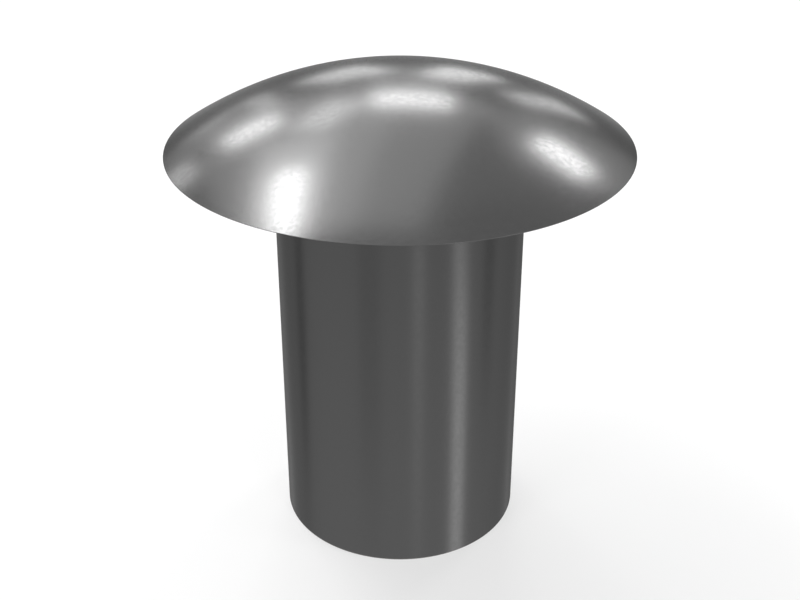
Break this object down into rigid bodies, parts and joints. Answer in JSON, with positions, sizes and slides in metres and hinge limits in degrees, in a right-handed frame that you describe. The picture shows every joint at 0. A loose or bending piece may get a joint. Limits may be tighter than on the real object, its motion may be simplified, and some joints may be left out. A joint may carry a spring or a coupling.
{
  "type": "hollow rivet",
  "caption": "Hollow rivet with a low domed head and a shank bored from its tail, for setting by rolling the tail outwards.",
  "frame": {"origin": "on the axis, in the plane of the head's flat underside, which seats on the work", "axes": "+Z along the axis, out of the dome; -Z along the shank to the open tail; X and Y are free, because the rivet is round"},
  "size_m": [0.011, 0.011, 0.0116],
  "materials": {
    "steel": "cold-formed and tumbled, dark satin with a very fine grain"
  },
  "bodies": {
    "root": {"rivet": "steel"}
  },
  "joints": []
}
